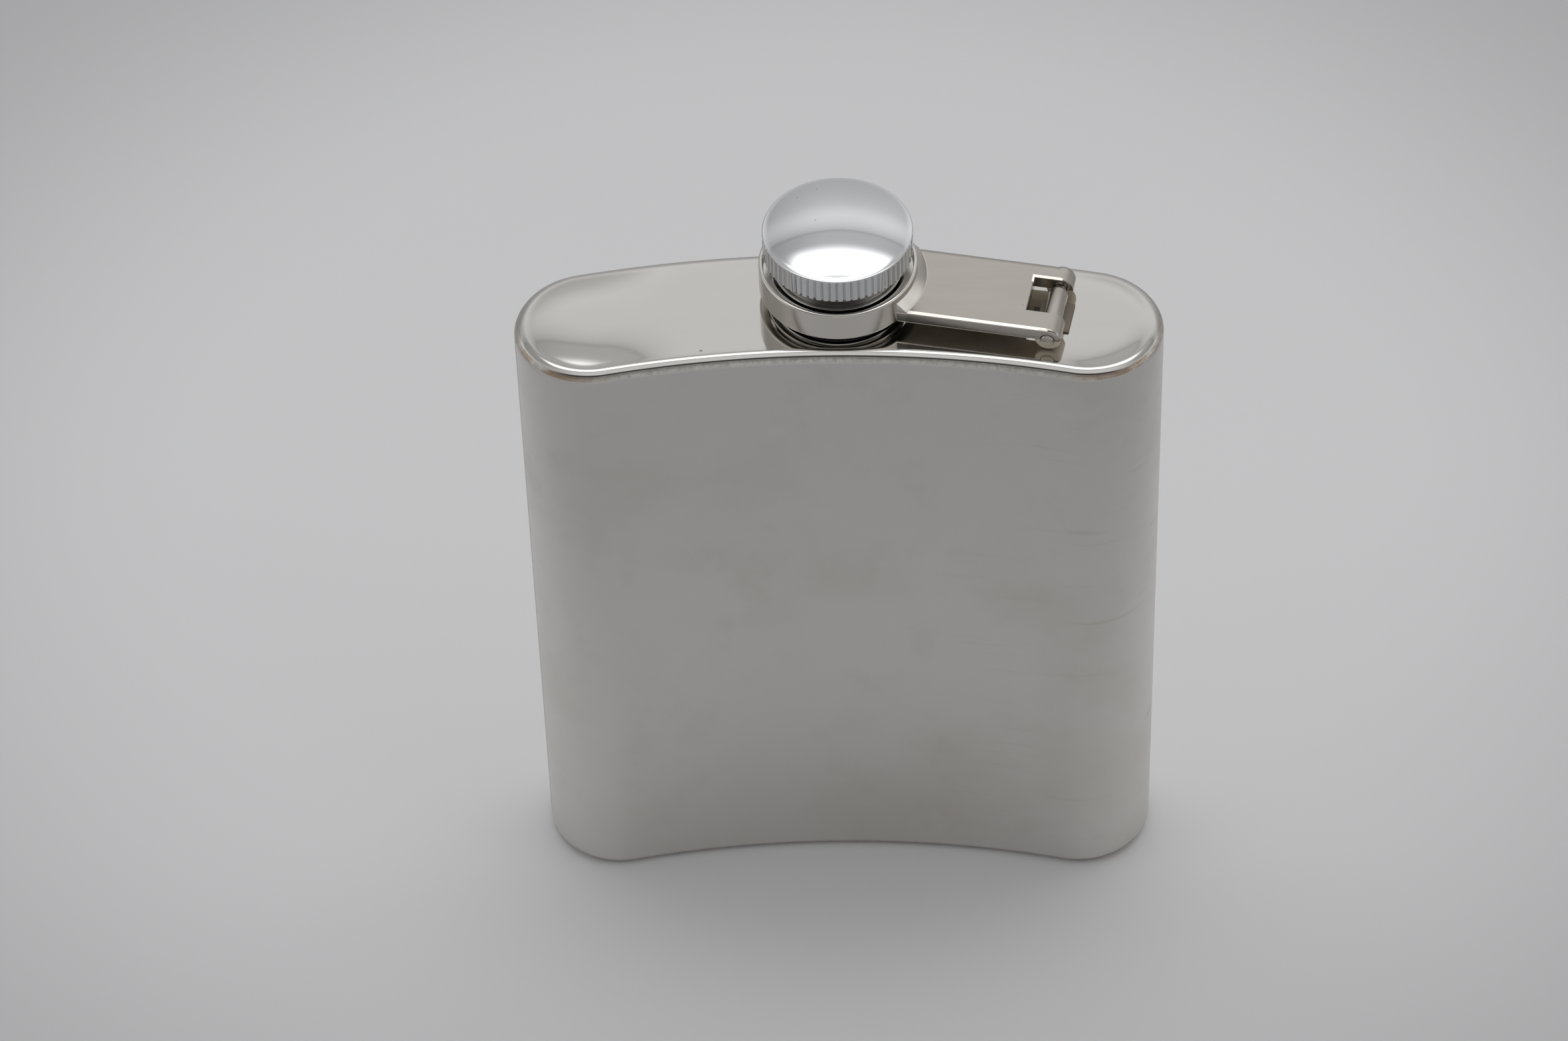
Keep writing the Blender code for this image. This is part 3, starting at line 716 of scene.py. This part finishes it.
def slab(x_span, y_span, z_span, easing=0.0):
    """A block between two limits on each axis, with its edges rounded by easing."""
    bm = bmesh.new()
    bmesh.ops.create_cube(bm, size=1.0)
    spans = (x_span, y_span, z_span)
    bmesh.ops.scale(bm, vec=[high - low for low, high in spans], verts=bm.verts)
    bmesh.ops.translate(bm, vec=[(high + low) / 2 for low, high in spans], verts=bm.verts)
    if easing:
        bmesh.ops.bevel(
            bm, geom=bm.edges[:], offset=easing,
            segments=3, profile=0.5, affect="EDGES", material=-1,
        )
    return bm


def arm_steel(for_the_knuckle=False):
    """Buffed on top, with the collar painted paler as a painted sheen. Dull underneath, painted a
    patchy tan as painted bounce light and shade. On the knuckle, painted shade darkens the steel
    near the lid.
    """
    material = bpy.data.materials.new("knuckle_steel" if for_the_knuckle else "arm_steel")
    steel = Finish(material, "Principled BSDF")
    wipe = steel.grain(steel.place((0.08, 0.5, 0.3), (0, 0, 0.2)), 1.0, 4.0, 0.6)
    lines = steel.grain(steel.place((0.25, 5.0, 2.0), (0, 0, -arm_angle)), 1.0, 2.0)
    speck = steel.grain(steel.place((1.1, 1.1, 1.1), (0.4, 0.2, 0.1)), 1.0, 1.0, 0.4)
    speck = speck.ramp(0.78, 0.83)
    clean = steel.mix(wipe, colour(0.530, 0.500, 0.455), colour(0.485, 0.452, 0.405))
    shade = steel.mix(speck * 0.5, clean, colour(0.25, 0.22, 0.19))
    height = steel.place().part("Z")
    if for_the_knuckle:
        # Near the lid the knuckle's foot is painted dark brown: painted shade under the barrel.
        dull_painted_underside = 1 - height.ramp(body_height + 0.5, body_height + 1.1)
        shade = steel.mix(dull_painted_underside * 0.85, shade, colour(0.165, 0.130, 0.095))
    else:
        neck_axis = (neck_centre.x, neck_centre.y, 0.0)
        outside = steel.place((1.0, 1.0, 0.0), centre=neck_axis).length()
        # The collar is painted paler than the strap: a painted sheen standing in for its brighter
        # reflection.
        shade = steel.mix(1 - outside.ramp(12.3, 13.0), shade, colour(0.72, 0.69, 0.64))
        # Underneath, the steel is dull, and it is painted a patchy pale tan and brown: painted
        # bounce light and shade under the arm.
        dull_painted_underside = (1 - height.ramp(pin_height - 0.06, pin_height - 0.02)) * outside.ramp(11.5, 12.5)
        patchy = steel.grain(steel.place((0.12, 0.3, 0.1), (0, 0, 0.5)), 1.0, 4.0, 0.6)
        patchy = patchy.ramp(0.25, 0.75)
        painted_bounce_tan = steel.mix(patchy, colour(0.76, 0.69, 0.58), colour(0.62, 0.54, 0.43))
        shade = steel.mix(dull_painted_underside, shade, painted_bounce_tan)
    steel.put(steel.shader.inputs["Base Color"], shade)
    steel.put(steel.shader.inputs["Metallic"], 1 - dull_painted_underside * 0.5)
    steel.put(steel.shader.inputs["Roughness"], 0.16 + wipe * 0.06 + lines * 0.05 + dull_painted_underside * 0.35)
    steel.put(steel.shader.inputs["Normal"], steel.bump(lines, 0.000006, 0.4))
    return material


warm_steel = arm_steel()
knuckle_steel = arm_steel(for_the_knuckle=True)
barrel_front = slot_front + 0.1
barrel_back = slot_back - 0.5
foot_bottom = body_height - pin_height + 0.02
foot_top = foot_bottom + 0.43
barrel = bar([
    (0.0, barrel_front), (knuckle_radius - 0.15, barrel_front),
    (knuckle_radius, barrel_front + 0.15), (knuckle_radius, barrel_back - 0.6),
    (knuckle_radius - 0.1, barrel_back - 0.32), (knuckle_radius - 0.3, barrel_back - 0.1),
    (knuckle_radius - 0.6, barrel_back), (0.0, barrel_back),
])
knuckle = made("hinge_barrel", in_the_hinge(barrel), knuckle_steel)
web_span = (barrel_front + 0.04, barrel_back - 0.6)
web = slab((-web_half, web_half), web_span, (foot_bottom + 0.2, 0.0))
knuckle = worked(knuckle, made("barrel_web", in_the_hinge(web)), "UNION")
foot_span = (barrel_front + 0.08, barrel_back - 0.4)
foot = slab((-foot_half, foot_half), foot_span, (foot_bottom, foot_top), 0.12)
knuckle = worked(knuckle, made("barrel_foot", in_the_hinge(foot)), "UNION")
pin_bore = pin_radius + 0.03
pin_hole = bar([(0.0, -9.0), (pin_bore, -9.0), (pin_bore, 9.0), (0.0, 9.0)])
knuckle = worked(knuckle, made("barrel_hole", in_the_hinge(pin_hole)), "DIFFERENCE")
stand_for(knuckle, "flask_body", "arm_steel", "hinge_knuckle")

pin_outline = [(0.0, arm_front - pin_dome)]
for i in range(1, 7):
    turn = i / 6 * pi / 2
    pin_outline.append((pin_radius * sin(turn), arm_front - pin_dome * cos(turn) + 0.02))
for i in range(6, 0, -1):
    turn = i / 6 * pi / 2
    pin_outline.append((pin_radius * sin(turn), arm_back + pin_dome * cos(turn) - 0.02))
pin_outline.append((0.0, arm_back + pin_dome))
pin = made("hinge_rivet", in_the_hinge(bar(pin_outline)), warm_steel)
stand_for(pin, "flask_body", "arm_steel", "hinge_pin")


# ---------------------------------------------------------------- captive arm
# A strap of polished steel. One end is a collar that holds the cap, with a slanted ring where it
# meets the strap. The other end is forked, and both prongs are curled round the pin.

collar_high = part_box("captive_arm")[1]
arm_length = 31.4
arm_thickness = 2.0
strap_top = 1.9
strap_bottom = strap_top - arm_thickness + 0.03
arm_top = pin_height + strap_top
arm_bottom = arm_top - arm_thickness
collar_top = collar_high.z / MM
collar_radius = 11.4
collar_bore = 10.35
rim_bore = 10.8
lip_radius = 9.8
lip_top = collar_top - 1.06
lip_bottom = lip_top - 0.7
flare_foot = collar_radius + 1.25
flare_top = arm_top + 1.7
slot_reach = -3.7
buffed_tilt = radians(15.4)
front_facet = 0.42
slot_facet = 0.42
back_round = 1.6


def on_the_collar(points, steps=160, closed=True):
    """A turned shape on the collar's axis, drawn from the pin. Heights are above the table."""
    from_pin = [(radius, height - pin_height) for radius, height in points]
    return turned(from_pin, steps, (-arm_length, 0.0), closed)


def strap_section():
    """The strap's section as (across, up). The front top edge is buffed to a narrow slope."""
    drop = front_facet * sin(buffed_tilt)
    front = arm_front
    points = [
        (front + 0.2, strap_bottom), (front + 0.05, strap_bottom + 0.05),
        (front, strap_bottom + 0.2), (front, strap_top - drop - 0.12),
        (front + 0.04, strap_top - drop - 0.03),
        (front + 0.1, strap_top - drop), (front + 0.1 + front_facet, strap_top),
    ]
    for i in range(13):
        turn = pi / 2 * i / 12
        across = arm_back - back_round * (1 - sin(turn))
        points.append((across, strap_top - back_round * (1 - cos(turn))))
    return points + [(arm_back, strap_bottom + 0.15), (arm_back - 0.15, strap_bottom)]


# The strap runs from the collar's axis to the pin. Its back corner is rounded off towards the pin.
strap = bmesh.new()
section = [strap.verts.new((-arm_length, across, up)) for across, up in strap_section()]
start_loop = [strap.edges.new(pair) for pair in zip(section, section[1:] + section[:1])]
corner_start = -1.4
stations = [-4.0, corner_start] + [corner_start * (1 - i / 8) for i in range(1, 9)]
loop = start_loop
for station in stations:
    extruded = bmesh.ops.extrude_edge_only(strap, edges=loop)["geom"]
    loop = [part for part in extruded if isinstance(part, bmesh.types.BMEdge)]
    after = sqrt(1 - 0.8 * max(0.0, (station - corner_start) / -corner_start) ** 2)
    loop_verts = {vert for edge in loop for vert in edge.verts}
    for vert, (across, up) in zip(sorted(loop_verts, key=lambda vert: vert.index), strap_section()):
        vert.co = (station, across, up)
        past = across - (arm_back - back_round)
        if past > 0:
            vert.co.y = arm_back - back_round + past * after
bmesh.ops.contextual_create(strap, geom=start_loop)
bmesh.ops.contextual_create(strap, geom=loop)
close_up(strap)
arm = made("cap_arm", strap, warm_steel)

eye_outline = [(0.0, arm_front + 0.05), (1.45, arm_front + 0.05)]
for i in range(1, 9):
    turn = pi / 2 * i / 8
    eye_outline.append((1.45 + 0.45 * sin(turn), arm_front + 0.05 + 0.45 * (1 - cos(turn))))
for i in range(9):
    turn = pi / 2 * i / 8
    eye_outline.append((0.75 + 1.15 * cos(turn), arm_back - 1.3 + 1.25 * sin(turn)))
eye_outline.append((0.0, arm_back - 0.05))
arm = worked(arm, made("arm_eye", bar(eye_outline)), "UNION")

slot = slab((slot_reach, 8.0), (slot_front, slot_back), (-6.0, 6.0))
arm = worked(arm, made("arm_slot", slot), "DIFFERENCE")


def relieve(name, low, high, spread, depth):
    """Cuts a slope round the slot's mouth. Low and high are its (along, across) lower corners."""
    relief = slab((low[0], high[0]), (low[1], high[1]), (strap_top - depth, strap_top + depth))
    for vert in relief.verts:
        if vert.co.z > strap_top:
            vert.co.x += 2 * spread if vert.co.x > 0 else -2 * spread
            vert.co.y += 2 * spread if vert.co.y > 0 else -2 * spread
    return worked(arm, made(name, relief), "DIFFERENCE")


arm = relieve("slot_edge", (slot_reach, slot_front), (8.0, slot_back), 0.1, 0.1)
wedge = slab((slot_reach - 0.3, 0.35), (slot_back - 1.0, slot_back + slot_facet * 2), (0.0, 3.0))
wedge_slope = slot_facet * sin(buffed_tilt)
for vert in wedge.verts:
    if vert.co.z < 1.0:
        up_slope = (vert.co.y - slot_back) / slot_facet * wedge_slope
        vert.co.z = strap_top - wedge_slope + up_slope
arm = worked(arm, made("slot_back_slope", wedge), "DIFFERENCE")
eye_hole = bar([
    (0.0, arm_front - 2), (pin_radius + 2.18, arm_front - 2), (pin_radius + 0.06, arm_front + 0.12),
    (pin_radius + 0.06, arm_back - 0.12), (pin_radius + 2.18, arm_back + 2), (0.0, arm_back + 2),
])
arm = worked(arm, made("eye_hole", eye_hole), "DIFFERENCE")

flare_outline = [
    (collar_bore + 0.3, arm_top - 1), (flare_foot, arm_top - 1), (flare_foot, arm_top),
    (flare_foot - 0.35, arm_top + 0.38), (flare_foot - 0.7, arm_top + 0.8),
    (flare_foot - 1.05, arm_top + 1.25), (collar_radius - 0.12, flare_top),
    (collar_bore + 0.3, flare_top),
]
flare = on_the_collar(flare_outline)
cuts = [
    ((0, arm_front + 0.03, 0), (0, -1, 0)), ((0, arm_back - 0.6, 0), (0, 1, 0)),
    ((5 - arm_length, 0, 0), (-1, 0, 0)),
]
for place, outward in cuts:
    geometry = flare.verts[:] + flare.edges[:] + flare.faces[:]
    cut = bmesh.ops.bisect_plane(
        flare, geom=geometry, plane_co=place, plane_no=outward, clear_outer=True
    )
    rim = [part for part in cut["geom_cut"] if isinstance(part, bmesh.types.BMEdge)]
    bmesh.ops.holes_fill(flare, edges=rim, sides=0)
bmesh.ops.recalc_face_normals(flare, faces=flare.faces)
arm = worked(arm, made("arm_flare", flare), "UNION")

collar_outline = eased([
    (4.0, arm_bottom, 0.0),
    (collar_radius, arm_bottom, 0.3),
    (collar_radius, collar_top, 0.42),
    (4.0, collar_top, 0.0),
], 8)
arm = worked(arm, made("arm_collar", on_the_collar(collar_outline)), "UNION")
bore_outline = [
    (0.0, arm_bottom - 3), (collar_bore, arm_bottom - 3), (collar_bore, lip_bottom),
    (lip_radius, lip_bottom), (lip_radius, lip_top), (rim_bore - 0.1, lip_top),
    (rim_bore, lip_top + 0.1), (rim_bore, collar_top - 0.16),
    (rim_bore + 0.05, collar_top - 0.05), (rim_bore + 0.16, collar_top + 0.01),
    (0.0, collar_top + 0.01),
]
arm = worked(arm, made("collar_bore", on_the_collar(bore_outline, closed=False)), "DIFFERENCE")

# The curves step by 7.5 degrees or more, so this angle keeps only the buffed slopes crisp.
arm.data.transform(Matrix.Translation(pin_place * MM) @ Matrix.Rotation(arm_angle, 4, "Z"))
arm.data.shade_smooth()
arm.data.set_sharp_from_angle(angle=radians(13))
weighted = arm.modifiers.new("flats", "WEIGHTED_NORMAL")
weighted.keep_sharp = True
arm = settled(arm)
stand_for(arm, "arm", "arm_steel", "captive_arm")


# ---------------------------------------------------------------- retaining ring
# A flat spring ring that snaps into a groove at the foot of the cap. It is wider than the collar's
# lip, so the cap lifts and turns but can't leave the arm.

spring_low, spring_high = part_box("retaining_ring")
spring_bottom = spring_low.z / MM
spring_top = spring_high.z / MM
spring_bore = 9.05
spring_radius = 10.2
spring_outline = eased([
    (spring_bore, spring_bottom, 0.1),
    (spring_radius, spring_bottom, 0.15),
    (spring_radius, spring_top, 0.15),
    (spring_bore, spring_top, 0.1),
])
spring = made("cap_retaining_ring", turned(spring_outline, fine_steps, neck_place), warm_steel)
stand_for(spring, "cap_carrier", "arm_steel", "retaining_ring")


# ---------------------------------------------------------------- cap shell
# Drawn from steel sheet and chrome plated. The low dome runs over into a grip rolled with straight
# flutes, and below the grip a plain skirt passes down through the collar.

shell_low, shell_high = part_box("cap_shell")
cap_top = shell_high.z / MM
skirt_bottom = shell_low.z / MM
grip_radius = (shell_high.x - shell_low.x) / 2 / MM
flute_count = 64
flute_depth = 0.34
grip_height = 3.64
dome_rise = 2.18
grip_top = cap_top - dome_rise
grip_bottom = grip_top - grip_height
skirt_radius = 9.5
skirt_wall = 0.8
skirt_bore = skirt_radius - skirt_wall
groove_radius = 9.0
groove_spare = 0.05
dome_wall = 0.8
dome_edge = 0.30
sphere = (grip_radius**2 + dome_rise**2) / (2 * dome_rise)
steps_per_flute = 10


def dome_height(radius, drop=0.0):
    return cap_top - sphere + sqrt((sphere - drop) ** 2 - radius**2)


def chrome_plate():
    material = bpy.data.materials.new("chrome_plate")
    chrome = Finish(material, "Principled BSDF")
    film = chrome.grain(chrome.place((0.15, 0.15, 0.15)), 1.0, 4.0, 0.6)
    speck = chrome.grain(chrome.place((1.3, 1.3, 1.3), (0.3, 0.1, 0.7)), 1.0, 1.0, 0.3)
    speck = speck.ramp(0.80, 0.84)
    clean = chrome.mix(film, colour(0.748, 0.753, 0.757), colour(0.720, 0.726, 0.732))
    shade = chrome.mix(speck * 0.6, clean, colour(0.12, 0.12, 0.12))
    chrome.put(chrome.shader.inputs["Base Color"], shade)
    chrome.put(chrome.shader.inputs["Metallic"], 1.0)
    chrome.put(chrome.shader.inputs["Roughness"], 0.035 + film * 0.04 + speck * 0.3)
    return material


chrome = chrome_plate()
edge_radius = grip_radius - 0.02
outline = [(0.0, cap_top)]
for i in range(1, 20):
    radius = (edge_radius - dome_edge) * i / 19
    outline.append((radius, dome_height(radius)))
shoulder = dome_height(edge_radius - dome_edge)
for i in range(1, 7):
    turn = pi / 2 * i / 6
    radius = edge_radius - dome_edge * (1 - sin(turn))
    outline.append((radius, shoulder - dome_edge / 2 * (1 - cos(turn))))
for drop in (0.12, 0.18, 0.24, 0.30, 0.36, 0.42, 0.5, 1.2, 2.0, 2.8):
    outline.append((grip_radius, grip_top - drop))
outline += eased([
    (grip_radius, grip_bottom, 0.0),
    (skirt_radius, grip_bottom, 0.0),
    (skirt_radius, spring_top + groove_spare, 0.0),
    (groove_radius, spring_top + groove_spare, 0.0),
    (groove_radius, spring_bottom - groove_spare, 0.0),
    (skirt_radius, spring_bottom - groove_spare, 0.0),
    (skirt_radius, skirt_bottom, 0.2),
    (skirt_bore, skirt_bottom, 0.2),
    (skirt_bore, dome_height(skirt_bore, dome_wall), 0.0),
])
for i in range(1, 8):
    radius = skirt_bore * (1 - i / 8)
    outline.append((radius, dome_height(radius, dome_wall)))
outline.append((0.0, cap_top - dome_wall))
bm = turned(outline, flute_count * steps_per_flute, closed=False)
# The flutes are rolled inwards from the dome's edge and run out just over it.
for vert in bm.verts:
    radius = sqrt(vert.co.x**2 + vert.co.y**2)
    if radius > edge_radius - 0.5 * dome_edge and vert.co.z > grip_bottom - 0.01:
        turn = Vector((vert.co.x, vert.co.y)).angle_signed(Vector((1, 0)), 0.0)
        across = abs((turn * flute_count / (2 * pi)) % 1.0 - 0.5) * 2
        groove = flute_depth * (0.10 * across**2 + 0.90 * smooth_step(across, 0.60, 0.98))
        groove *= 1 - smooth_step(vert.co.z, grip_top - 0.36, grip_top + 0.08)
        vert.co.x *= (radius - groove) / radius
        vert.co.y *= (radius - groove) / radius
bmesh.ops.translate(bm, vec=(neck_centre.x, neck_centre.y, 0), verts=bm.verts)
shell = made("fluted_cap", bm, chrome, sharp=radians(50))
stand_for(shell, "cap", "cap_chrome", "cap_shell")


# ---------------------------------------------------------------- cap liner and gasket
# A threaded insert of black plastic is pressed into the shell. A white silicone washer lies against
# its roof and seals on the neck's top edge.

liner_low, liner_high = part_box("cap_liner")
gasket_low, gasket_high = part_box("gasket")
liner_radius = (liner_high.x - liner_low.x) / 2 / MM
liner_crest = 7.7
liner_root = 8.0
liner_top = liner_high.z / MM
liner_bottom = liner_low.z / MM
liner_ceiling = liner_top - 0.7


def moulded_plastic():
    material = bpy.data.materials.new("moulded_black")
    plastic = Finish(material, "Principled BSDF")
    grain = plastic.grain(plastic.place((3, 3, 3)), 1.0, 3.0)
    shade = plastic.mix(grain, colour(0.020, 0.020, 0.021), colour(0.034, 0.033, 0.032))
    plastic.put(plastic.shader.inputs["Base Color"], shade)
    plastic.put(plastic.shader.inputs["Roughness"], 0.42 + grain * 0.15)
    plastic.put(plastic.shader.inputs["Normal"], plastic.bump(grain, 0.00002, 0.4))
    return material


def white_silicone():
    material = bpy.data.materials.new("white_silicone")
    rubber = Finish(material, "Principled BSDF")
    grain = rubber.grain(rubber.place((2, 2, 2)), 1.0, 3.0)
    shade = rubber.mix(grain, colour(0.74, 0.73, 0.69), colour(0.66, 0.65, 0.60))
    rubber.put(rubber.shader.inputs["Base Color"], shade)
    rubber.put(rubber.shader.inputs["Roughness"], 0.5 + grain * 0.2)
    rubber.put(rubber.shader.inputs["Normal"], rubber.bump(grain, 0.00002, 0.3))
    return material


liner_outline = [(0.0, liner_top)] + eased([
    (liner_radius, liner_top, 0.4),
    (liner_radius, liner_bottom, 0.2),
    (liner_root, liner_bottom, 0.2),
    (liner_root, liner_ceiling, 0.2),
]) + [(0.0, liner_ceiling)]
insert = turned(liner_outline, fine_steps, neck_place, closed=False)
liner = made("threaded_liner", insert, moulded_plastic())
inner_ridge = thread_ridge(liner_root + 0.08, liner_crest, liner_bottom + 0.8, 2.4, 0.9)
bmesh.ops.translate(inner_ridge, vec=(neck_centre.x, neck_centre.y, 0), verts=inner_ridge.verts)
liner = worked(liner, made("liner_ridge", inner_ridge), "UNION")
stand_for(liner, "cap", "liner_plastic", "cap_liner")

gasket_hole = 3.0
gasket_outer = (gasket_high.x - gasket_low.x) / 2 / MM
gasket_outline = eased([
    (gasket_hole, gasket_low.z / MM, 0.2),
    (gasket_outer, gasket_low.z / MM, 0.3),
    (gasket_outer, gasket_high.z / MM, 0.3),
    (gasket_hole, gasket_high.z / MM, 0.2),
])
washer_ring = turned(gasket_outline, fine_steps, neck_place)
washer = made("silicone_washer", washer_ring, white_silicone())
stand_for(washer, "cap", "gasket_rubber", "gasket")
